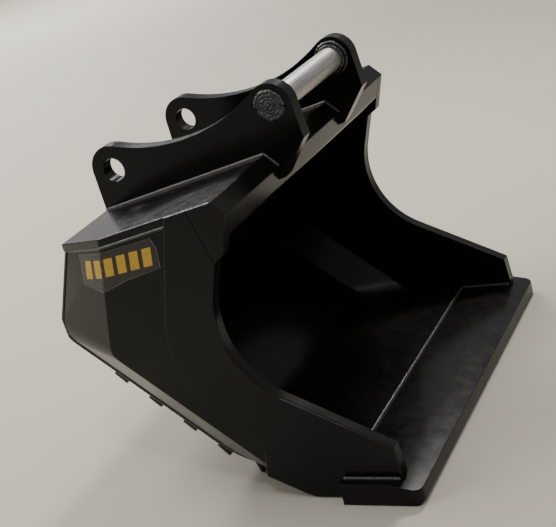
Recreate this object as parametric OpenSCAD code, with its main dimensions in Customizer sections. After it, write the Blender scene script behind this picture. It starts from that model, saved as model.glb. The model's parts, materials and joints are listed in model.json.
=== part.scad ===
// Excavator bucket for a two-pin quick coupler: straight cutting edge, pressed side plates with
// tapered rear corners, a curved shell on wear bars, and two ears for 60 mm pins.
// Millimetres. X runs across the bucket, the mouth faces -Y and Z is up. The edge lies flat on
// the ground, with the origin on the ground at the middle of the outline.

/* [Overall] */
// Width over the side doublers
bucket_w = 990; // [820:5:1300]
// Cutting edge tip ahead of the rear pin
tip_reach = 735; // [650:5:900]
// Height of the mouth's upper corner over the ground
mouth_h = 739; // [640:5:900]
// Back wall's lower corner behind the rear pin
back_reach = 157; // [130:1:185]
// Height of the back wall's lower corner
back_h = 422; // [360:1:500]

/* [Coupler ears] */
// Diameter of the coupler pins
pin_d = 60; // [45:1:75]
// Distance between the two pin centres
pin_spacing = 480; // [400:5:560]
// Rise of the front pin over the rear one
pin_angle = 11.3; // [4:0.1:16]
// Height of the rear pin over the top plate
pin_stand = 90; // [75:1:110]
// Clear width between the ears
ear_gap = 340; // [270:5:450]
// Thickness of an ear plate
ear_t = 36; // [25:1:45]
// Wall of the ear's rear lobe around its bore
rear_lobe_wall = 32; // [26:1:40]
// Wall of the ear's front lobe around the pin
front_lobe_wall = 23; // [18:1:32]
// Radius of the hollow along the ear's top
ear_hollow_r = 510; // [430:5:700]
// Radial play of a pin in the open rear bores
bore_clear = 0.25; // [0.1:0.05:0.6]
// Width of the weld ring around the front pin inside an ear
collar_wall = 11; // [7:0.5:16]
// How far the weld ring stands in from the ear
collar_t = 12; // [8:1:18]

/* [Shell and top] */
// Thickness of the curved shell plate
shell_t = 22; // [14:1:28]
// Slope of the heel
heel_angle = 43; // [37:0.5:45]
// Radius between heel and floor
heel_r = 260; // [180:5:300]
// Radius at the back wall's lower corner
back_r = 58; // [40:1:75]
// Top of the back wall behind the rear pin
back_top_reach = 55; // [40:1:66]
// Slope of the top plate
top_angle = 10.1; // [4:0.1:14]
// Thickness of the top plate and the lip
top_t = 20; // [14:1:24]
// Front edge of the top plate ahead of the rear pin
lip_reach = 420; // [400:5:440]
// Length of the sloping lip
lip_len = 45; // [36:1:56]
// Slope of the lip
lip_angle = 46.8; // [38:0.5:56]
// Thickness of the bent beam plate under the lip
beam_t = 16; // [10:1:20]
// Drop of the beam plate below the lip
beam_drop = 86; // [70:1:100]

/* [Sides] */
// Thickness of a side plate
side_t = 24; // [16:1:30]
// Thickness of a side doubler
doubler_t = 8; // [6:1:16]
// How far the rear corners and the heel taper in
taper_in = 75; // [50:1:95]
// Start of the rear taper ahead of the rear pin, along the top
taper_top = 104; // [90:1:150]
// Width of the rear taper at its lower corner
taper_low = 185; // [150:1:200]
// Drop of the side plate's lower rear corner below the back corner
taper_drop = 32; // [15:1:55]
// Radius of the throat in the mouth edge
throat_r = 208; // [175:1:230]
// Throat centre ahead of the rear pin
throat_reach = 553; // [535:1:580]
// Throat centre below the mouth's upper corner
throat_drop = 296; // [275:1:320]
// Lean of the mouth edge over the throat
throat_lean = 21.5; // [16:0.5:27]
// Height of the nose over the cutting edge
nose_rise = 76; // [60:1:95]
// Nose behind the edge tip
nose_back = 49; // [40:1:65]

/* [Cutting edge] */
// Thickness of the cutting edge
edge_t = 54; // [44:1:64]
// Length of the cutting edge from back to tip
edge_len = 192; // [160:1:215]
// How far the edge stands out past each doubler
edge_overhang = 26; // [15:1:40]
// Length of the bevel on top of the edge
bevel_len = 70; // [50:1:90]
// Thickness left at the tip
tip_t = 38; // [26:1:42]
// Chamfer under the tip
tip_chamfer = 9; // [4:1:12]
// Radius of the edge's front corners
edge_corner_r = 22; // [10:1:26]

/* [Wear bars] */
// Length of a bar's foot along the shell
bar_len = 60; // [45:1:70]
// Distance between bars along the shell
bar_pitch = 104; // [92:1:108]
// First bar from the back corner
bar_first = 172; // [150:1:180]
// How far a bar stops short of the shell's side
bar_short = 6; // [4:1:40]
// Radius of a bar's corners
bar_corner_r = 18; // [8:1:22]

/* [Hidden] */
paint = [0.09, 0.09, 0.085];
bare_steel = [0.62, 0.62, 0.60];
arc_steps = 20;
round_n = 96;
bar_count = 6;
lobe_lap = 0.1;

// Side-view points are [reach ahead of the rear pin, height over the ground].
floor_h = edge_t - shell_t;
bar_h = floor_h;
edge_back = tip_reach - edge_len;
side_x = bucket_w / 2 - doubler_t;
side_in_x = side_x - side_t;
shell_x = side_x - taper_in;
edge_x = bucket_w / 2 + edge_overhang;
ear_in_x = ear_gap / 2;
ear_out_x = ear_in_x + ear_t;
top_rise = tan(top_angle);
top_dir = [cos(top_angle), sin(top_angle)];
lip_dir = [cos(lip_angle), -sin(lip_angle)];
lip_top = [lip_reach, mouth_h];
lip_low = lip_top + lip_len * lip_dir;
top_back = back_top_reach + 8;

function unit(v) = v / norm(v);
function left_of(v) = [-v[1], v[0]];
function cross2(a, b) = a[0] * b[1] - a[1] * b[0];
// Where the line through p along d crosses the line through q along e
function meet(p, d, q, e) = p + d * cross2(q - p, e) / cross2(d, e);
function reversed(v) = [for (i = [len(v) - 1:-1:0]) v[i]];
function polar(c, r, a) = c + r * [cos(a), sin(a)];
function arc(c, r, from, to) =
    [for (i = [0:arc_steps]) polar(c, r, from + (to - from) * i / arc_steps)];
// Where a line from p touches the circle, on its left (1) or its right (-1)
function touch(p, c, r, side) =
    polar(c, r, atan2(p[1] - c[1], p[0] - c[0]) + side * acos(r / norm(p - c)));
// Points of an arc that rounds the corner b between a and c
function corner(a, b, c, r) =
    let (
        u = unit(a - b),
        w = unit(c - b),
        half = acos(u * w) / 2,
        centre = b + unit(u + w) * r / sin(half),
        from = b + u * r / tan(half) - centre,
        turn = (cross2(u, w) > 0 ? -1 : 1) * (180 - 2 * half)
    )
    [
        for (i = [0:arc_steps])
            let (t = turn * i / arc_steps)
            centre + [from[0] * cos(t) - from[1] * sin(t), from[0] * sin(t) + from[1] * cos(t)]
    ];
// An open line whose inner corners are rounded, with one radius for each of them
function rounded(line, radii) = [
    line[0],
    for (i = [1:len(line) - 2]) each corner(line[i - 1], line[i], line[i + 1], radii[i - 1]),
    line[len(line) - 1]
];

// Top plate and lip
function top_at(x) = [x, mouth_h - (lip_reach - x) * top_rise];
under_top = lip_top - top_t * left_of(top_dir);
function under_at(x) = meet(under_top, top_dir, [x, 0], [0, 1]);
lip_low_in = lip_low - top_t * left_of(lip_dir);
mitre = meet(under_top, top_dir, lip_low_in, lip_dir);
top_shape = [top_at(-top_back), lip_top, mitre, under_at(-top_back)];
lip_shape = [lip_top, lip_low, lip_low_in, mitre];

// Beam plate under the lip
beam_low = lip_low + beam_drop * [-0.34, -0.94];
beam_back = under_at(beam_low[0] - 92);
beam_front_dir = unit(beam_low - lip_low);
beam_back_dir = unit(beam_back - beam_low);
beam_low_in = meet(
    lip_low - beam_t * left_of(beam_front_dir), beam_front_dir,
    beam_low - beam_t * left_of(beam_back_dir), beam_back_dir
);
beam_line = [lip_low, beam_low, beam_back];
beam_line_in = [
    meet(beam_low_in, beam_front_dir, lip_low_in, lip_dir),
    beam_low_in,
    meet(beam_low_in, beam_back_dir, under_top, top_dir)
];
beam_shape = concat(
    rounded(beam_line, [beam_t + 8]),
    reversed(rounded(beam_line_in, [8]))
);

// Shell from the top of the back wall round the heel to the cutting edge
back_low = [-back_reach, back_h];
heel_dir = [cos(heel_angle), -sin(heel_angle)];
heel_low = meet(back_low, heel_dir, [0, floor_h], [1, 0]);
back_top = under_at(-back_top_reach);
back_dir = unit(back_low - back_top);
shell_line = [back_top, back_low, heel_low, [edge_back, floor_h]];
shell_out = rounded(shell_line, [back_r, heel_r]);
back_low_in = meet(
    back_low + shell_t * left_of(back_dir), back_dir,
    back_low + shell_t * left_of(heel_dir), heel_dir
);
heel_low_in = meet(back_low_in, heel_dir, [0, edge_t], [1, 0]);
shell_in_r = [back_r - shell_t, heel_r - shell_t];
shell_in = rounded(
    [meet(back_low_in, back_dir, under_top, top_dir), back_low_in, heel_low_in, [edge_back, edge_t]],
    shell_in_r
);

// Side plate's fold lines, where the tapered rear and heel faces start
side_top = under_at(taper_top);
side_low = [taper_low - back_reach, back_h - taper_drop];
side_dir = unit(side_low - side_top);
heel_fold = meet(side_low, heel_dir, [0, floor_h], [1, 0]);
fold_r = [36, 150];
fold_line = rounded([side_top, side_low, heel_fold, [edge_back, floor_h]], fold_r);
fold_in = side_t * 0.4;
side_low_in = meet(
    side_low + fold_in * left_of(side_dir), side_dir,
    side_low + fold_in * left_of(heel_dir), heel_dir
);
heel_fold_in = meet(side_low_in, heel_dir, [0, edge_t], [1, 0]);

// Mouth edge from the nose over the throat to the corner plate
throat = [throat_reach, mouth_h - throat_drop];
nose = [tip_reach - nose_back, edge_t + nose_rise];
nose_touch = touch(nose, throat, throat_r, -1);
nose_touch_a = atan2(nose_touch[1] - throat[1], nose_touch[0] - throat[0]);
throat_top_a = 180 - throat_lean;
tab_low = beam_low + [-3, -8];
mouth_top = meet(
    polar(throat, throat_r, throat_top_a), [sin(throat_lean), cos(throat_lean)],
    [0, tab_low[1] - 15], [1, 0]
);
mouth_line = concat(
    [[edge_back, edge_t], [nose[0] + 4, edge_t], nose],
    arc(throat, throat_r, nose_touch_a + 360, throat_top_a),
    [mouth_top]
);
corner_back = lip_reach - 60;
corner_shape = [top_at(corner_back), lip_top, lip_low, tab_low, mouth_top];

// Doubler's rear outline, from the top down and round to the cutting edge
doubler_top = top_at(lip_reach - 118);
doubler_low = [lip_reach - 253, mouth_h - 406];
doubler_heel = [lip_reach - 54, edge_t + 74];
doubler_foot = [lip_reach - 70, edge_t + 4];
doubler_bend = [lip_reach + 36, 3];
doubler_line = rounded(
    [doubler_top, doubler_low, doubler_heel, doubler_foot, doubler_bend, [edge_back, 3]],
    [250, 16, 7, 90]
);

// Cutting edge
edge_shape = [
    [edge_back, 0],
    [tip_reach - tip_chamfer, 0],
    [tip_reach, tip_chamfer],
    [tip_reach, tip_t],
    [tip_reach - bevel_len, edge_t],
    [edge_back, edge_t]
];

// Wear bars follow the heel and the bend, and the last one lies on the floor
bend_len = heel_r * tan(heel_angle / 2);
heel_len = norm(heel_low - back_low) - bend_len;
bend_arc = heel_r * heel_angle * PI / 180;
bend_centre = [heel_low[0] + bend_len, floor_h + heel_r];
function bar_s(i) = bar_first + i * bar_pitch;
function bar_slope(i) =
    i == bar_count - 1 ? 0 :
    bar_s(i) < heel_len ? heel_angle :
    max(0, heel_angle * (1 - (bar_s(i) - heel_len) / bend_arc));
function bar_at(i) =
    i == bar_count - 1 ? [bend_centre[0] + bar_len / 2, floor_h] :
    bar_s(i) < heel_len ? back_low + bar_s(i) * heel_dir :
    bend_centre - heel_r * [sin(bar_slope(i)), cos(bar_slope(i))];

// Pins, ear lobes and the hollow between them
rear_pin = [0, top_at(0)[1] + pin_stand];
fore_pin = polar(rear_pin, pin_spacing, pin_angle);
bore_r = pin_d / 2 + bore_clear;
rear_lobe_r = bore_r + rear_lobe_wall;
fore_lobe_r = pin_d / 2 + front_lobe_wall;
hollow_a = ear_hollow_r + rear_lobe_r;
hollow_b = ear_hollow_r + fore_lobe_r;
hollow_x = (hollow_a ^ 2 - hollow_b ^ 2 + pin_spacing ^ 2) / (2 * pin_spacing);
pin_dir = unit(fore_pin - rear_pin);
hollow = rear_pin + hollow_x * pin_dir + sqrt(hollow_a ^ 2 - hollow_x ^ 2) * left_of(pin_dir);
ear_foot = top_at(1 - top_back);
ear_chin = [fore_pin[0] + fore_lobe_r + 7, fore_pin[1] - fore_lobe_r - 31];
ear_toe = lip_low + 34 * beam_front_dir;
ear_shape = [
    ear_foot,
    touch(ear_foot, rear_pin, rear_lobe_r - lobe_lap, -1),
    rear_pin,
    rear_pin + (rear_lobe_r - lobe_lap) * unit(hollow - rear_pin),
    fore_pin + (fore_lobe_r - lobe_lap) * unit(hollow - fore_pin),
    fore_pin,
    touch(ear_chin, fore_pin, fore_lobe_r - lobe_lap, 1),
    ear_chin,
    ear_toe + [19, 4],
    ear_toe,
    lip_low,
    lip_top
];

// Outline's middle in the side view
mid_reach = (tip_reach + min([for (p = shell_out) p[0]])) / 2;

// A side-view shape drawn across the bucket from one x to another
module across(from, to) {
    translate([from, mid_reach, 0])
        rotate([90, 0, 90])
            linear_extrude(to - from)
                mirror([1, 0])
                    children();
}

// The same on the left side (-1) or the right side (1)
module on_side(side, from, to) {
    across(side > 0 ? from : -to, side > 0 ? to : -from)
        children();
}

module shell() {
    color(paint)
        across(-shell_x, shell_x)
            polygon(concat(shell_out, reversed(shell_in)));
}

module top_plate() {
    color(paint)
        intersection() {
            across(-side_x, side_x)
                polygon(top_shape);
            translate([0, mid_reach, 0])
                linear_extrude(mouth_h + 1)
                    polygon([
                        [-shell_x, top_back],
                        [shell_x, top_back],
                        [side_x, -taper_top],
                        [side_x, -lip_reach - 1],
                        [-side_x, -lip_reach - 1],
                        [-side_x, -taper_top]
                    ]);
        }
}

module front_lip() {
    color(paint)
        across(-side_x, side_x)
            polygon(lip_shape);
}

module lip_beam() {
    color(paint)
        across(-side_in_x, side_in_x)
            difference() {
                polygon(beam_shape);
                polygon(lip_shape);
            }
}

// Solid whose outside is the taper from the shell's section to the side plate's
module taper_block(side) {
    hull() {
        on_side(side, shell_x, shell_x + 0.01)
            polygon(concat(shell_out, [under_at(edge_back)]));
        on_side(side, side_x - 0.01, side_x)
            polygon(concat(fold_line, [under_at(edge_back)]));
    }
}

// Room inside that taper
module taper_room(side) {
    hull() {
        on_side(side, shell_x - 1, shell_x)
            polygon(concat(
                rounded(
                    [
                        meet(back_low_in, back_dir, under_top + [0, 40], top_dir),
                        back_low_in,
                        heel_low_in,
                        [edge_back + 40, edge_t]
                    ],
                    shell_in_r
                ),
                [under_at(edge_back + 40) + [0, 40]]
            ));
        on_side(side, side_in_x, side_x + 1)
            polygon(concat(
                rounded(
                    [
                        meet(side_low_in, side_dir, under_top + [0, 40], top_dir),
                        side_low_in,
                        heel_fold_in,
                        [edge_back + 40, edge_t]
                    ],
                    fold_r - [fold_in, fold_in]
                ),
                [under_at(edge_back + 40) + [0, 40]]
            ));
    }
}

module side_plate(side) {
    color(paint)
        union() {
            difference() {
                taper_block(side);
                taper_room(side);
            }
            on_side(side, side_in_x, side_x)
                polygon(concat(fold_line, mouth_line, [under_at(corner_back)]));
        }
}

module side_plate_left() {
    side_plate(-1);
}

module side_plate_right() {
    side_plate(1);
}

module corner_plate(side) {
    color(paint)
        difference() {
            on_side(side, side_in_x, bucket_w / 2)
                polygon(corner_shape);
            across(-side_x, side_x) {
                polygon(lip_shape);
                polygon(top_shape);
            }
        }
}

module corner_plate_left() {
    corner_plate(-1);
}

module corner_plate_right() {
    corner_plate(1);
}

module side_doubler(side) {
    color(paint)
        on_side(side, side_x, bucket_w / 2)
            polygon(concat(doubler_line, mouth_line, [top_at(corner_back)]));
}

module side_doubler_left() {
    side_doubler(-1);
}

module side_doubler_right() {
    side_doubler(1);
}

module cutting_edge() {
    color(paint)
        intersection() {
            across(-edge_x, edge_x)
                polygon(edge_shape);
            translate([0, mid_reach - tip_reach, -1])
                linear_extrude(edge_t + 2)
                    union() {
                        translate([-edge_x, edge_corner_r])
                            square([2 * edge_x, edge_len]);
                        translate([edge_corner_r - edge_x, 0])
                            square([2 * (edge_x - edge_corner_r), edge_len]);
                        for (s = [-1, 1])
                            translate([s * (edge_x - edge_corner_r), edge_corner_r])
                                circle(edge_corner_r, $fn = round_n);
                    }
        }
}

module ear(side) {
    color(paint)
        difference() {
            union() {
                on_side(side, ear_in_x, ear_out_x)
                    polygon(ear_shape);
                on_side(side, ear_in_x, ear_out_x)
                    translate(rear_pin)
                        circle(rear_lobe_r, $fn = round_n);
                on_side(side, ear_in_x, ear_out_x)
                    translate(fore_pin)
                        circle(fore_lobe_r, $fn = round_n);
            }
            on_side(side, ear_in_x - 1, ear_out_x + 1)
                translate(hollow)
                    circle(ear_hollow_r - lobe_lap, $fn = 4 * round_n);
            on_side(side, ear_in_x - 1, ear_out_x + 1)
                translate(rear_pin)
                    circle(bore_r, $fn = round_n);
            on_side(side, ear_in_x - 1, ear_out_x + 1)
                translate(fore_pin)
                    circle(pin_d / 2, $fn = round_n);
        }
}

module ear_left() {
    ear(-1);
}

module ear_right() {
    ear(1);
}

module front_pin() {
    color(bare_steel)
        across(-ear_out_x, ear_out_x)
            translate(fore_pin)
                circle(pin_d / 2, $fn = round_n);
}

module pin_collar(side) {
    color(paint)
        on_side(side, ear_in_x - collar_t, ear_in_x)
            translate(fore_pin)
                difference() {
                    circle(pin_d / 2 + collar_wall, $fn = round_n);
                    circle(pin_d / 2, $fn = round_n);
                }
}

module pin_collar_left() {
    pin_collar(-1);
}

module pin_collar_right() {
    pin_collar(1);
}

// Foot of a bar, seen from above
module bar_plan() {
    half_w = shell_x - bar_short;
    difference() {
        square([2 * half_w, bar_len], center = true);
        for (sx = [-1, 1], sy = [-1, 1])
            translate([sx * half_w, sy * bar_len / 2])
                square(2 * bar_corner_r, center = true);
    }
    for (sx = [-1, 1], sy = [-1, 1])
        translate([sx * (half_w - bar_corner_r), sy * (bar_len / 2 - bar_corner_r)])
            circle(bar_corner_r, $fn = round_n / 2);
}

module wear_bar(i) {
    color(paint)
        difference() {
            translate([0, mid_reach - bar_at(i)[0], bar_at(i)[1]])
                rotate([-bar_slope(i), 0, 0])
                    translate([0, 0, -bar_h])
                        linear_extrude(bar_h + 8)
                            bar_plan();
            across(-shell_x, shell_x)
                polygon(concat(shell_out, [under_at(edge_back)]));
        }
}

module wear_bar_1() {
    wear_bar(0);
}

module wear_bar_2() {
    wear_bar(1);
}

module wear_bar_3() {
    wear_bar(2);
}

module wear_bar_4() {
    wear_bar(3);
}

module wear_bar_5() {
    wear_bar(4);
}

module wear_bar_6() {
    wear_bar(5);
}

shell();
top_plate();
front_lip();
lip_beam();
side_plate_left();
side_plate_right();
corner_plate_left();
corner_plate_right();
side_doubler_left();
side_doubler_right();
cutting_edge();
ear_left();
ear_right();
front_pin();
pin_collar_left();
pin_collar_right();
wear_bar_1();
wear_bar_2();
wear_bar_3();
wear_bar_4();
wear_bar_5();
wear_bar_6();
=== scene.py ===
"""Excavator bucket: paint, bare steel, weld beads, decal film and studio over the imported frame."""

import json
import logging
import math
from dataclasses import dataclass, field
from enum import Enum
from typing import Dict, List, Sequence, Tuple

import bmesh
import bpy
from mathutils import Matrix, Vector, noise
from mathutils.bvhtree import BVHTree

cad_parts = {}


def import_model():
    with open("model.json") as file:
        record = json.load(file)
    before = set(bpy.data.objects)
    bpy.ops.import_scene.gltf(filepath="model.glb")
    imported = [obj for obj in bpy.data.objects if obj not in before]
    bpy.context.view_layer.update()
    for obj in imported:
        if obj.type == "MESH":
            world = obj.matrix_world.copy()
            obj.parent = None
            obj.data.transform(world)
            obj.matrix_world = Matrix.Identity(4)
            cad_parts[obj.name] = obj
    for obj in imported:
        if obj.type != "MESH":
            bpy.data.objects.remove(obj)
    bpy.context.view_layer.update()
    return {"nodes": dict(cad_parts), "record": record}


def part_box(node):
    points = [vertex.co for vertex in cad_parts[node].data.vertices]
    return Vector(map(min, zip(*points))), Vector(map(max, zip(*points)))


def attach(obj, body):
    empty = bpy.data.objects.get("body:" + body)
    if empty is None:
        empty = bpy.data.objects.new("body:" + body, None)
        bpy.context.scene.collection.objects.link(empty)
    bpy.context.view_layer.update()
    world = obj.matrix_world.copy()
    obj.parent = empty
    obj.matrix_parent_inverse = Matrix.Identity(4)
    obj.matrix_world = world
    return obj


LOG = logging.getLogger("bucket")
Color = Tuple[float, float, float]
MM = 0.001
MERGE = 0.00002


class PlateRole(Enum):
    """What a painted plate has been through."""

    BODY = "body"
    EAR = "ear"
    EDGE = "edge"
    BAR = "bar"


class NodeSheet:
    """Small helper that lays out shader nodes in one material."""

    def __init__(self, name: str) -> None:
        """Start a material with an empty tree.

        Args:
            name: Material name.
        """
        self.material = bpy.data.materials.new(name)
        self.material.use_nodes = True
        self.tree = self.material.node_tree
        self.tree.nodes.clear()
        self.output = self.tree.nodes.new("ShaderNodeOutputMaterial")
        self.shader = self.tree.nodes.new("ShaderNodeBsdfPrincipled")
        self.link(self.shader.outputs["BSDF"], self.output.inputs["Surface"])
        self.coords = self.tree.nodes.new("ShaderNodeTexCoord").outputs["Object"]

    def link(self, source: bpy.types.NodeSocket, target: bpy.types.NodeSocket) -> None:
        """Join two sockets."""
        self.tree.links.new(source, target)

    def noise(self, scale: float, detail: float, rough: float = 0.55,
              stretch: Sequence[float] = (1.0, 1.0, 1.0)) -> bpy.types.NodeSocket:
        """Add a noise pattern on Object coordinates.

        Args:
            scale: Noise scale per metre.
            detail: Octaves.
            rough: Roughness of the octaves.
            stretch: Scale along each axis.

        Returns:
            The noise's value.
        """
        mapping = self.tree.nodes.new("ShaderNodeMapping")
        mapping.inputs["Scale"].default_value = stretch
        self.link(self.coords, mapping.inputs["Vector"])
        node = self.tree.nodes.new("ShaderNodeTexNoise")
        node.inputs["Scale"].default_value = scale
        node.inputs["Detail"].default_value = detail
        node.inputs["Roughness"].default_value = rough
        self.link(mapping.outputs["Vector"], node.inputs["Vector"])
        return node.outputs["Fac"]

    def ramp(self, value: bpy.types.NodeSocket, low: float, high: float,
             out_low: float = 0.0, out_high: float = 1.0) -> bpy.types.NodeSocket:
        """Map a value's range to another range, clamped.

        Args:
            value: Input value.
            low: Start of the input range.
            high: End of the input range.
            out_low: Result at low.
            out_high: Result at high.

        Returns:
            The mapped value.
        """
        node = self.tree.nodes.new("ShaderNodeMapRange")
        node.inputs["From Min"].default_value = low
        node.inputs["From Max"].default_value = high
        node.inputs["To Min"].default_value = out_low
        node.inputs["To Max"].default_value = out_high
        self.link(value, node.inputs["Value"])
        return node.outputs["Result"]

    def math(self, kind: str, a: bpy.types.NodeSocket,
             b: "bpy.types.NodeSocket | float") -> bpy.types.NodeSocket:
        """Combine two values.

        Args:
            kind: Math operation.
            a: First value.
            b: Second value or a number.

        Returns:
            The result.
        """
        node = self.tree.nodes.new("ShaderNodeMath")
        node.operation = kind
        self.link(a, node.inputs[0])
        if isinstance(b, float):
            node.inputs[1].default_value = b
        else:
            self.link(b, node.inputs[1])
        return node.outputs[0]

    def blend(self, factor: bpy.types.NodeSocket, a: "bpy.types.NodeSocket | Color",
              b: Color) -> bpy.types.NodeSocket:
        """Mix two colours.

        Args:
            factor: Share of the second colour.
            a: First colour, a socket or a value.
            b: Second colour.

        Returns:
            The mixed colour.
        """
        node = self.tree.nodes.new("ShaderNodeMix")
        node.data_type = "RGBA"
        self.link(factor, node.inputs["Factor"])
        if isinstance(a, tuple):
            node.inputs[6].default_value = (*a, 1.0)
        else:
            self.link(a, node.inputs[6])
        node.inputs[7].default_value = (*b, 1.0)
        return node.outputs[2]

    def upward(self) -> bpy.types.NodeSocket:
        """How far the surface faces up, from -1 to 1."""
        geometry = self.tree.nodes.new("ShaderNodeNewGeometry")
        split = self.tree.nodes.new("ShaderNodeSeparateXYZ")
        self.link(geometry.outputs["Normal"], split.inputs["Vector"])
        return split.outputs["Z"]

    def bump(self, *layers: Tuple[bpy.types.NodeSocket, float, float]) -> None:
        """Stack bumps and join them to the shader.

        Args:
            layers: Height, strength and distance of each bump.
        """
        normal = None
        for height, strength, distance in layers:
            node = self.tree.nodes.new("ShaderNodeBump")
            node.inputs["Strength"].default_value = strength
            node.inputs["Distance"].default_value = distance
            self.link(height, node.inputs["Height"])
            if normal is not None:
                self.link(normal, node.inputs["Normal"])
            normal = node.outputs["Normal"]
        self.link(normal, self.shader.inputs["Normal"])


@dataclass(frozen=True)
class ThickBlackPaint:
    """Glossy black paint over steel plate, with orange peel, dust and rubbed spots."""

    role: PlateRole
    color: Color = (0.0022, 0.0024, 0.0023)
    warm: Color = (0.0042, 0.0041, 0.0038)
    dust: Color = (0.16, 0.15, 0.13)
    rubbed: Color = (0.045, 0.043, 0.040)
    gloss: float = 0.20
    shine: float = 0.20
    coat: float = 0.05
    coat_rough: float = 0.10
    dust_share: float = 0.022
    grain_share: float = 0.05

    def build(self) -> bpy.types.Material:
        """Make the paint's material.

        Returns:
            The material.
        """
        s = NodeSheet(f"black_paint_{self.role.value}")
        cloud = s.noise(5.0, 5.0)
        patch = s.noise(34.0, 6.0, 0.62)
        speck = s.noise(420.0, 3.0, 0.7)
        run = s.noise(11.0, 4.0, 0.6, (1.0, 1.0, 0.22))
        tone = s.blend(s.ramp(cloud, 0.35, 0.68), self.color, self.warm)
        flat = s.ramp(s.upward(), 0.1, 0.95)
        settled = s.math("MULTIPLY", flat, s.ramp(patch, 0.30, 0.75, 0.25, 1.0))
        film = s.math("MULTIPLY", s.ramp(run, 0.42, 0.75), 0.35)
        dusty = s.math("ADD", settled, film)
        fine = s.math("MULTIPLY", dusty, s.ramp(speck, 0.36, 0.62, 0.45, 1.0))
        grains = s.math("MULTIPLY", s.ramp(speck, 0.66, 0.72), s.ramp(patch, 0.4, 0.7, 0.2, 0.8))
        share = s.math("ADD", s.math("MULTIPLY", fine, self.dust_share),
                       s.math("MULTIPLY", grains, self.grain_share))
        color = s.blend(share, tone, self.dust)
        rub = s.math("MULTIPLY", s.ramp(s.noise(16.0, 8.0, 0.72), 0.60, 0.68), self._wear())
        color = s.blend(rub, color, self.rubbed)
        s.link(color, s.shader.inputs["Base Color"])
        rough = s.math("ADD", s.ramp(patch, 0.3, 0.7, self.gloss - 0.02, self.gloss + 0.03),
                       s.math("MULTIPLY", dusty, 0.05))
        s.link(s.math("ADD", rough, s.math("MULTIPLY", rub, 0.25)), s.shader.inputs["Roughness"])
        s.shader.inputs["Coat Weight"].default_value = self.coat
        s.shader.inputs["Coat Roughness"].default_value = self.coat_rough
        s.shader.inputs["Specular IOR Level"].default_value = self.shine
        s.bump((cloud, 0.05, 0.003), (s.noise(60.0, 2.0), 0.06, 0.0010),
               (s.noise(420.0, 2.0), 0.08, 0.0004))
        return s.material

    def _wear(self) -> float:
        """Share of rubbed paint for the plate's role."""
        return {PlateRole.BODY: 0.04, PlateRole.EAR: 0.05, PlateRole.EDGE: 0.08,
                PlateRole.BAR: 0.12}[self.role]


@dataclass(frozen=True)
class BareSteel:
    """Ground bar steel with rust freckles and turning marks along the bar."""

    color: Color = (0.30, 0.29, 0.275)
    bright: Color = (0.50, 0.49, 0.475)
    rust: Color = (0.15, 0.085, 0.05)
    metal: float = 0.85

    def build(self) -> bpy.types.Material:
        """Make the steel's material.

        Returns:
            The material.
        """
        s = NodeSheet("bare_bar_steel")
        s.shader.inputs["Metallic"].default_value = self.metal
        streak = s.noise(60.0, 5.0, 0.6, (0.35, 6.0, 6.0))
        freckle = s.noise(130.0, 6.0, 0.7)
        tone = s.blend(s.ramp(streak, 0.3, 0.7), self.color, self.bright)
        spots = s.math("MULTIPLY", s.ramp(freckle, 0.60, 0.70), 0.55)
        s.link(s.blend(spots, tone, self.rust), s.shader.inputs["Base Color"])
        s.link(s.ramp(streak, 0.3, 0.7, 0.36, 0.52), s.shader.inputs["Roughness"])
        s.bump((streak, 0.15, 0.0008), (freckle, 0.12, 0.0005))
        return s.material


@dataclass(frozen=True)
class PaintedWeld:
    """Weld bead under the same black paint, a little more open and rough; the lighter colour on its grit
    crests is partly wear and partly a painted highlight.
    """

    name: str = "painted_weld"
    color: Color = (0.012, 0.012, 0.0115)
    # Lighter crest colour: partly worn paint, partly a painted highlight so the beads read as a light
    # line along the seams.
    crest_and_painted_highlight: Color = (0.075, 0.073, 0.068)
    coat: float = 0.3
    coat_rough: float = 0.2

    def build(self) -> bpy.types.Material:
        """Make the weld's material.

        Returns:
            The material.
        """
        s = NodeSheet(self.name)
        grit = s.noise(260.0, 6.0, 0.65)
        # Lighter colour on the grit's crests: partly wear, partly a painted highlight along the bead.
        color = s.blend(s.ramp(grit, 0.45, 0.72), self.color, self.crest_and_painted_highlight)
        s.link(color, s.shader.inputs["Base Color"])
        s.link(s.ramp(grit, 0.3, 0.7, 0.24, 0.46), s.shader.inputs["Roughness"])
        s.shader.inputs["Coat Weight"].default_value = self.coat
        s.shader.inputs["Coat Roughness"].default_value = self.coat_rough
        s.bump((grit, 0.5, 0.0012))
        return s.material


@dataclass(frozen=True)
class PrintedFilm:
    """Sticker film in one print colour, faintly scratched."""

    name: str
    color: Color
    gloss: float
    scuffed: float = 0.62

    def build(self) -> bpy.types.Material:
        """Make the film's material.

        Returns:
            The material.
        """
        s = NodeSheet(self.name)
        scuff = s.noise(90.0, 6.0, 0.7)
        dark = tuple(self.scuffed * c for c in self.color)
        s.link(s.blend(s.ramp(scuff, 0.55, 0.72), self.color, dark), s.shader.inputs["Base Color"])
        s.link(s.ramp(scuff, 0.3, 0.7, self.gloss, self.gloss + 0.16), s.shader.inputs["Roughness"])
        s.bump((scuff, 0.1, 0.0004))
        return s.material


@dataclass(frozen=True)
class PaleFloor:
    """Smooth pale floor paint with a faint cloud."""

    color: Color = (0.385, 0.365, 0.305)
    cloud: Color = (0.40, 0.38, 0.32)
    rough: float = 0.85

    def build(self) -> bpy.types.Material:
        """Make the floor's material.

        Returns:
            The material.
        """
        s = NodeSheet("pale_floor")
        drift = s.ramp(s.noise(0.9, 4.0), 0.3, 0.7)
        s.link(s.blend(drift, self.color, self.cloud), s.shader.inputs["Base Color"])
        s.shader.inputs["Roughness"].default_value = self.rough
        s.bump((s.noise(160.0, 4.0), 0.05, 0.001))
        return s.material


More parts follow.
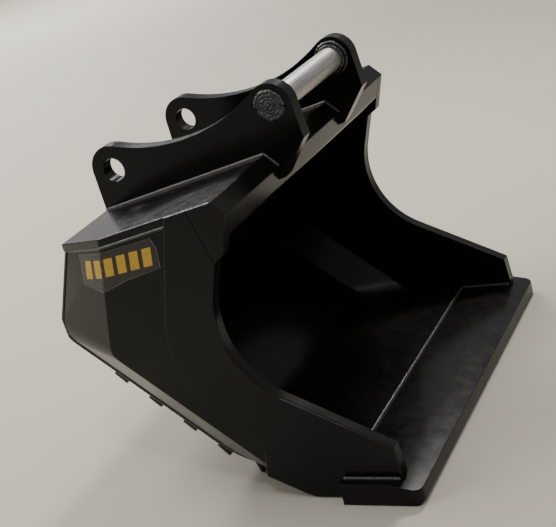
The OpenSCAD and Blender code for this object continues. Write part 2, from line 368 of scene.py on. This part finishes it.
def finished(mesh: bmesh.types.BMesh, name: str, material: bpy.types.Material,
             smooth: bool = True) -> bpy.types.Object:
    """Turn a bmesh into a piece that rides on the bucket.

    Args:
        mesh: The piece's shape, in place.
        name: Piece name.
        material: Its finish.
        smooth: Whether its faces shade smooth.

    Returns:
        The new object.
    """
    data = bpy.data.meshes.new(name)
    for face in mesh.faces:
        face.smooth = smooth
    mesh.to_mesh(data)
    mesh.free()
    piece = bpy.data.objects.new(name, data)
    bpy.context.scene.collection.objects.link(piece)
    data.materials.append(material)
    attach(piece, "root")
    LOG.info("%s: %d faces", name, len(data.polygons))
    return piece


@dataclass
class SideView:
    """Turns side-view points, reach from the rear pin and height, into places in the frame."""

    axis_y: float

    def at(self, x: float, reach: float, height: float) -> Vector:
        """Place of a side-view point, all in millimetres.

        Args:
            x: Distance across from the middle.
            reach: Reach ahead of the rear pin.
            height: Height over the ground.

        Returns:
            The point in metres.
        """
        return Vector((x * MM, self.axis_y - reach * MM, height * MM))


@dataclass
class PlateWork:
    """All CAD plates: their paint and the small radius on their edges."""

    nodes: Dict[str, bpy.types.Object]
    edge_round: float = 2.2
    thin_round: float = 1.2
    edge_segments: int = 3
    edge_angle: float = 24.0
    fold_angle: float = 15.0
    flat_angle: float = 0.4
    paints: Dict[PlateRole, bpy.types.Material] = field(default_factory=dict)

    def role_of(self, name: str) -> PlateRole:
        """Role of a node by its name."""
        if name.startswith(("ear", "pin_collar")):
            return PlateRole.EAR
        if name == "cutting_edge":
            return PlateRole.EDGE
        return PlateRole.BAR if name.startswith("wear_bar") else PlateRole.BODY

    def dress(self, node: bpy.types.Object, material: bpy.types.Material, radius: float) -> None:
        """Give one CAD node its finish and rounded plate edges.

        Args:
            node: CAD object.
            material: Its finish.
            radius: Edge radius in millimetres.
        """
        node.data.materials.clear()
        node.data.materials.append(material)
        node.data.polygons.foreach_set("use_smooth", [True] * len(node.data.polygons))
        weld = node.modifiers.new("weld", "WELD")
        weld.merge_threshold = MERGE
        flat = node.modifiers.new("flat", "DECIMATE")
        flat.decimate_type = "DISSOLVE"
        flat.angle_limit = math.radians(self.flat_angle)
        bevel = node.modifiers.new("edges", "BEVEL")
        bevel.width = radius * MM
        bevel.segments = self.edge_segments
        bevel.limit_method = "ANGLE"
        folded = node.name.startswith("side_plate")
        bevel.angle_limit = math.radians(self.fold_angle if folded else self.edge_angle)
        normal = node.modifiers.new("normals", "WEIGHTED_NORMAL")
        normal.keep_sharp = False
        LOG.info("%s dressed", node.name)

    def build(self) -> None:
        """Dress every node."""
        self.paints = {role: ThickBlackPaint(role).build() for role in PlateRole}
        steel = BareSteel().build()
        for name, node in sorted(self.nodes.items()):
            if name == "front_pin":
                self.dress(node, steel, self.thin_round)
            else:
                thin = name.startswith(("pin_collar", "lip_beam"))
                radius = self.thin_round if thin else self.edge_round
                self.dress(node, self.paints[self.role_of(name)], radius)


@dataclass
class BeadMaker:
    """Lays ripply weld beads along lines of points."""

    finish: bpy.types.Material
    step: float = 3.6
    sides: int = 8
    ripple: float = 0.13
    taper: float = 0.25

    def resample(self, line: Sequence[Vector]) -> List[Vector]:
        """Points at an even step along a line.

        Args:
            line: The line's corners.

        Returns:
            The points.
        """
        points: List[Vector] = [line[0].copy()]
        for a, b in zip(line, line[1:]):
            count = max(1, round((b - a).length / (self.step * MM)))
            points += [a.lerp(b, i / count) for i in range(1, count + 1)]
        return points

    def lay(self, mesh: bmesh.types.BMesh, line: Sequence[Vector], radius: float,
            seed: float) -> None:
        """Extrude one bead along a line.

        Args:
            mesh: The mesh that takes the bead.
            line: The bead's middle line.
            radius: Bead radius in millimetres.
            seed: Where its ripple starts.
        """
        points = self.resample(line)
        last = len(points) - 1
        ring = bmesh.ops.create_circle(mesh, cap_ends=False, segments=self.sides,
                                       radius=1.0)["verts"]
        first_edges = list(dict.fromkeys(e for v in ring for e in v.link_edges))
        template = [v.co.copy() for v in ring]
        edges = first_edges
        for i, point in enumerate(points):
            along = (points[min(i + 1, last)] - points[max(i - 1, 0)]).normalized()
            turn = along.to_track_quat("Z", "X").to_matrix().to_4x4()
            wave = math.sin(i * 2.1 + seed) + 0.8 * noise.noise(point * 90 + Vector((seed, 0, 0)))
            size = radius * MM * (1 + self.ripple * wave)
            if i in (0, last):
                size *= self.taper
            place = Matrix.Translation(point) @ turn @ Matrix.Scale(size, 4)
            if i > 0:
                grown = bmesh.ops.extrude_edge_only(mesh, edges=edges)["geom"]
                ring = [g for g in grown if isinstance(g, bmesh.types.BMVert)]
                edges = [g for g in grown if isinstance(g, bmesh.types.BMEdge)]
                template = [previous.inverted() @ v.co for v in ring]
            for vert, spot in zip(ring, template):
                vert.co = place @ spot
            previous = place
        bmesh.ops.contextual_create(mesh, geom=edges)
        bmesh.ops.contextual_create(mesh, geom=first_edges)

    def piece(self, name: str, lines: Sequence[Tuple[Sequence[Vector], float]]) -> None:
        """Make one piece from several beads.

        Args:
            name: Piece name.
            lines: Each bead's line and radius.
        """
        mesh = bmesh.new()
        for i, (line, radius) in enumerate(lines):
            self.lay(mesh, line, radius, 1.7 * i)
        bmesh.ops.recalc_face_normals(mesh, faces=mesh.faces[:])
        finished(mesh, name, self.finish)


@dataclass
class WeldWork:
    """Every weld bead on the bucket."""

    side: SideView
    maker: BeadMaker
    nodes: Dict[str, bpy.types.Object]
    bead: float = 5.0
    fine: float = 3.6
    cap_turns: float = 4.3
    cap_radius: float = 34.0
    cap_bead: float = 6.0
    cap_steps: int = 60
    ring_steps: int = 72
    lip_reach: float = 420.0
    beam_drop: float = 32.8
    side_thick: float = 24.0
    nose_reach: float = 686.0
    doubler_top: Tuple[float, float] = (302.0, 718.0)
    doubler_low: Tuple[float, float] = (352.0, 62.0)
    rim_rear: Tuple[float, float] = (-53.0, 634.0)
    rim_fold: Tuple[float, float] = (104.0, 661.0)
    rim_front: Tuple[float, float] = (296.0, 695.0)

    def end_loop(self, node: str, x: float) -> List[Vector]:
        """Ordered outline of a node's flat face at one place across the bucket.

        Args:
            node: CAD node.
            x: Place of the face, in metres.

        Returns:
            The outline's corners.
        """
        mesh = bmesh.new()
        mesh.from_mesh(self.nodes[node].data)
        bmesh.ops.remove_doubles(mesh, verts=mesh.verts[:], dist=MERGE)
        away = [f for f in mesh.faces if any(abs(v.co.x - x) > 0.0001 for v in f.verts)]
        bmesh.ops.delete(mesh, geom=away, context="FACES")
        rim = dict.fromkeys(e for e in mesh.edges if len(e.link_faces) == 1)
        loops: List[List[Vector]] = []
        while rim:
            vert = next(iter(rim)).verts[0]
            loop = [vert.co.copy()]
            while True:
                ahead = next((e for e in vert.link_edges if e in rim), None)
                if ahead is None:
                    break
                del rim[ahead]
                vert = ahead.other_vert(vert)
                loop.append(vert.co.copy())
            loops.append(loop[:-1])
        mesh.free()
        return max(loops, key=lambda c: sum((a - b).length for a, b in zip(c, c[1:])))

    def chain(self, loop: Sequence[Vector], a: Vector, b: Vector) -> List[Vector]:
        """The half of a loop between two corners that lies farther to the rear.

        Args:
            loop: Closed outline.
            a: One end.
            b: Other end.

        Returns:
            The points from a to b.
        """
        size = len(loop)
        ia = min(range(size), key=lambda i: (loop[i] - a).length)
        ib = min(range(size), key=lambda i: (loop[i] - b).length)
        one = [loop[(ia + k) % size] for k in range((ib - ia) % size + 1)]
        two = [loop[(ia - k) % size] for k in range((ia - ib) % size + 1)]
        return max((one, two), key=lambda c: sum(p.y for p in c) / len(c))

    def ear_feet(self) -> None:
        """Beads along both faces of both ears, over the top plate, the lip and the beam."""
        lip_low, lip_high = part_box("front_lip")
        corner = Vector((0, self.side.axis_y - self.lip_reach * MM, lip_high.z))
        for name in ("ear_left", "ear_right"):
            low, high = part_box(name)
            heel = min(self.end_loop(name, low.x), key=lambda p: p.z - p.y)
            lines = []
            for x in (low.x, high.x):
                path = [Vector((x, heel.y, heel.z)), Vector((x, corner.y, corner.z)),
                        Vector((x, lip_low.y, lip_high.z - self.beam_drop * MM))]
                lines.append((path, self.bead))
            lines.append(([Vector((low.x, heel.y, heel.z)), Vector((high.x, heel.y, heel.z))],
                          self.bead))
            self.maker.piece(f"weld_{name}_foot", lines)

    def doubler_edges(self) -> None:
        """Beads along the doublers' rear outline."""
        for name, face in (("side_doubler_left", 1), ("side_doubler_right", 0)):
            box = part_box(name)
            x = box[1].x if face else box[0].x
            loop = self.end_loop(name, x)
            top = self.side.at(x / MM, *self.doubler_top)
            low = self.side.at(x / MM, *self.doubler_low)
            path = self.chain(loop, top, low)
            self.maker.piece(f"weld_{name}", [(path, self.fine)])

    def shell_seams(self) -> None:
        """Beads where the shell meets the tapered sides, outside and inside."""
        for sign, label in ((-1, "left"), (1, "right")):
            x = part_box("shell")[0 if sign < 0 else 1].x
            loop = self.end_loop("shell", x)
            top = max(loop, key=lambda p: p.z + p.y)
            front = min(loop, key=lambda p: p.y + p.z * 0.5)
            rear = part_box("shell")[1].y - 1.4 * self.fine * MM
            path = [Vector((p.x, min(p.y, rear), p.z)) for p in self.chain(loop, top, front)]
            self.maker.piece(f"weld_shell_{label}", [(path, self.fine)])

    def edge_seams(self) -> None:
        """Beads between the cutting edge, the floor and the sides."""
        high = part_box("cutting_edge")[1]
        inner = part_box("side_plate_right")[1].x - self.side_thick * MM
        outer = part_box("side_doubler_right")[1].x
        nose = self.side.at(0, self.nose_reach, 0).y
        lines = [([Vector((-inner, high.y, high.z)), Vector((inner, high.y, high.z))], self.bead)]
        for x in (-outer, -inner, inner, outer):
            lines.append(([Vector((x, high.y - 0.002, high.z)), Vector((x, nose, high.z))],
                          self.bead))
        self.maker.piece("weld_cutting_edge", lines)

    def top_seams(self) -> None:
        """Beads under the top plate's rear rim."""
        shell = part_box("shell")[1].x
        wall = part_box("side_plate_right")[1].x
        for sign, label in ((-1, "left"), (1, "right")):
            path = [self.side.at(sign * shell / MM, *self.rim_rear),
                    self.side.at(sign * wall / MM, *self.rim_fold),
                    self.side.at(sign * wall / MM, *self.rim_front)]
            self.maker.piece(f"weld_top_{label}", [(path, self.fine)])

    def pin_welds(self) -> None:
        """Spiral caps over the pin's ends and rings inside the ears."""
        low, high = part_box("front_pin")
        centre = (low + high) / 2
        ring_turn = 2 * math.pi / self.ring_steps
        for sign, label in ((-1, "left"), (1, "right")):
            face = low.x if sign < 0 else high.x
            spiral = []
            steps = int(self.cap_turns * self.cap_steps)
            for i in range(steps):
                angle = i / self.cap_steps * 2 * math.pi
                wander = noise.noise(Vector((i * 0.31, sign, 2.0)))
                radius = (self.cap_radius * (1 - i / steps) + 2 + 2.6 * wander) * MM
                lift = sign * (0.001 + 0.0016 * noise.noise(Vector((i * 0.17, 5.0, sign))))
                spiral.append(Vector((face + lift, centre.y + radius * math.cos(angle),
                                      centre.z + radius * math.sin(angle))))
            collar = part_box(f"pin_collar_{label}")
            inner = collar[1].x if sign < 0 else collar[0].x
            rings = [(spiral, self.cap_bead)]
            for x, radius, size in ((inner, 33.0, 4.4), (inner - sign * -0.006, 40.0, 4.6)):
                ring = [Vector((x, centre.y + radius * MM * math.cos(a * ring_turn),
                                centre.z + radius * MM * math.sin(a * ring_turn)))
                        for a in range(self.ring_steps + 1)]
                rings.append((ring, size))
            self.maker.piece(f"weld_pin_{label}", rings)

    def build(self) -> None:
        """Lay every bead."""
        self.ear_feet()
        self.doubler_edges()
        self.shell_seams()
        self.edge_seams()
        self.top_seams()
        self.pin_welds()


@dataclass
class SideDecal:
    """Generic sticker on the left side: clear film with slanted yellow blocks over the fold."""

    side: SideView
    plate: bpy.types.Object
    film_outline: Tuple[Tuple[float, float], ...] = (
        (6, 634), (244, 672), (252, 648), (246, 600), (150, 580), (70, 552), (30, 560), (4, 566))
    border: float = 1.6
    block_start: float = 20.0
    block_pitch: float = 37.0
    block_count: int = 6
    block_width: float = 25.0
    block_base: float = 580.0
    block_height: float = 44.0
    slant: float = 9.0
    climb: float = 0.14
    skew: float = 3.0
    cut_reach: float = 6.0
    cut_height: float = 8.0
    lift: float = 0.3
    clear: float = -600.0

    def laid(self, outline: Sequence[Tuple[float, float]], lift: float, name: str,
             material: bpy.types.Material) -> None:
        """Lay a thin outline on the side plate.

        Args:
            outline: Side-view corners.
            lift: Height over the plate in millimetres.
            name: Piece name.
            material: Its finish.
        """
        tree = BVHTree.FromPolygons([v.co for v in self.plate.data.vertices],
                                    [p.vertices for p in self.plate.data.polygons])
        mesh = bmesh.new()
        mesh.faces.new([mesh.verts.new(self.side.at(self.clear, u, z)) for u, z in outline])
        reach = [u for u, _ in outline]
        height = [z for _, z in outline]
        for k in range(int((max(reach) - min(reach)) / self.cut_reach)):
            bmesh.ops.bisect_plane(mesh, geom=mesh.faces[:] + mesh.edges[:] + mesh.verts[:],
                                   plane_co=self.side.at(0, min(reach) + self.cut_reach * (k + 0.5), 0),
                                   plane_no=(0, 1, 0))
        for k in range(int((max(height) - min(height)) / self.cut_height)):
            bmesh.ops.bisect_plane(mesh, geom=mesh.faces[:] + mesh.edges[:] + mesh.verts[:],
                                   plane_co=self.side.at(0, 0, min(height) + self.cut_height * (k + 0.5)),
                                   plane_no=(0, 0, 1))
        for vert in mesh.verts:
            hit = tree.ray_cast(vert.co, Vector((1, 0, 0)))[0]
            vert.co.x = (hit.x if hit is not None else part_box("side_plate_left")[0].x) - lift * MM
        bmesh.ops.recalc_face_normals(mesh, faces=mesh.faces[:])
        if sum(f.normal.x for f in mesh.faces) > 0:
            bmesh.ops.reverse_faces(mesh, faces=mesh.faces[:])
        finished(mesh, name, material, False)

    def build(self) -> None:
        """Lay the film and its marks."""
        film = PrintedFilm("decal_film", (0.010, 0.010, 0.0095), 0.16).build()
        yellow = PrintedFilm("decal_yellow", (0.50, 0.30, 0.020), 0.34).build()
        edge = PrintedFilm("decal_edge", (0.15, 0.15, 0.14), 0.24).build()
        mid_u = sum(u for u, _ in self.film_outline) / len(self.film_outline)
        mid_z = sum(z for _, z in self.film_outline) / len(self.film_outline)
        wider = []
        for u, z in self.film_outline:
            away = Vector((u - mid_u, z - mid_z))
            away += away.normalized() * self.border
            wider.append((mid_u + away.x, mid_z + away.y))
        self.laid(wider, self.lift, "decal_edge", edge)
        self.laid(self.film_outline, 2 * self.lift, "decal_film", film)
        for i in range(self.block_count):
            u = self.block_start + i * self.block_pitch
            rise = self.climb * (u - self.block_start)
            base = self.block_base + rise
            top = base + self.block_height
            far = u + self.block_width
            self.laid(((u, base), (far, base + self.skew), (far + self.slant, top + self.skew),
                       (u + self.slant, top)), 3 * self.lift, f"decal_block_{i + 1}", yellow)


SUNNY: Color = (1.0, 0.965, 0.90)
SOFT: Color = (1.0, 0.985, 0.95)


@dataclass(frozen=True)
class Lamp:
    """One square soft light: place and aim in metres, side in metres, power in watts."""

    name: str
    at: Tuple[float, float, float]
    aim: Tuple[float, float, float]
    size: float
    power: float
    color: Color = (1.0, 1.0, 1.0)

    def hang(self) -> None:
        """Add the light to the scene."""
        data = bpy.data.lights.new(self.name, "AREA")
        data.shape = "SQUARE"
        data.size = self.size
        data.energy = self.power
        data.color = self.color
        lamp = bpy.data.objects.new(self.name, data)
        lamp.location = self.at
        lamp.rotation_euler = (Vector(self.aim) - Vector(self.at)).to_track_quat("-Z", "Y").to_euler()
        bpy.context.scene.collection.objects.link(lamp)


LAMPS: Tuple[Lamp, ...] = (
    Lamp("key", (2.6, -0.2, 3.9), (0, 0.2, 0.2), 0.8, 165, (1.0, 0.955, 0.88)),
    Lamp("sky", (0.0, 2.6, 4.6), (0.2, 1.6, 0.0), 1.8, 140, SUNNY),
    Lamp("back_wash", (3.6, 5.2, 4.2), (1.6, 4.6, 0.0), 2.4, 260, SOFT),
    Lamp("left_wash", (-2.6, 6.0, 4.6), (-1.4, 4.6, 0.0), 2.6, 215, SUNNY),
    Lamp("far_wash", (8.0, 8.0, 6.0), (9.5, 8.5, 0.0), 4.0, 1500, SOFT),
    Lamp("edge_glint", (-1.9, -1.0, 3.4), (0, 0, 0.5), 0.35, 26),
    Lamp("left_fill", (-3.4, 3.4, 2.8), (0, 0, 0.4), 1.4, 8),
    Lamp("front_fill", (-1.6, -4.6, 2.8), (0, 0, 0.4), 1.4, 22),
)


@dataclass
class Studio:
    """Floor, lights and camera."""

    camera_at: Tuple[float, float, float] = (-2.484, -1.434, 1.434)
    right: Tuple[float, float, float] = (0.405, -0.8731, -0.2714)
    down: Tuple[float, float, float] = (-0.430, 0.0802, -0.8993)
    ahead: Tuple[float, float, float] = (0.8069, 0.4809, -0.3429)
    lens: float = 76.6
    sensor: float = 36.0
    far_clip: float = 100.0
    floor_half: float = 14.0
    air: Color = (0.93, 0.94, 1.0)
    air_strength: float = 0.36

    def floor(self) -> None:
        """Lay the floor."""
        mesh = bmesh.new()
        bmesh.ops.create_grid(mesh, x_segments=1, y_segments=1, size=self.floor_half)
        data = bpy.data.meshes.new("studio_floor")
        mesh.to_mesh(data)
        mesh.free()
        ground = bpy.data.objects.new("studio_floor", data)
        data.materials.append(PaleFloor().build())
        bpy.context.scene.collection.objects.link(ground)

    def camera(self) -> None:
        """Set the camera at its place, with its roll."""
        data = bpy.data.cameras.new("camera")
        data.lens = self.lens
        data.sensor_width = self.sensor
        data.sensor_fit = "HORIZONTAL"
        data.clip_end = self.far_clip
        eye = bpy.data.objects.new("camera", data)
        right, up, back = Vector(self.right), -Vector(self.down), -Vector(self.ahead)
        turn = Matrix((right, up, back)).transposed().to_4x4()
        eye.matrix_world = Matrix.Translation(self.camera_at) @ turn
        bpy.context.scene.collection.objects.link(eye)
        bpy.context.scene.camera = eye

    def build(self) -> None:
        """Build the studio."""
        self.floor()
        for lamp in LAMPS:
            lamp.hang()
        world = bpy.data.worlds.new("studio_air")
        world.use_nodes = True
        back = world.node_tree.nodes["Background"]
        back.inputs["Color"].default_value = (*self.air, 1.0)
        back.inputs["Strength"].default_value = self.air_strength
        bpy.context.scene.world = world
        self.camera()


def main() -> None:
    """Build every class in order."""
    logging.basicConfig(level=logging.INFO, format="%(name)s: %(message)s")
    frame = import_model()
    mounts = {m["name"]: m for m in frame["record"]["mounts"]}
    side = SideView(mounts["rear_pin_bore"]["pos_m"][1])
    Studio().build()
    PlateWork(frame["nodes"]).build()
    WeldWork(side, BeadMaker(PaintedWeld().build()), frame["nodes"]).build()
    SideDecal(side, frame["nodes"]["side_plate_left"]).build()


if __name__ == "__main__":
    main()
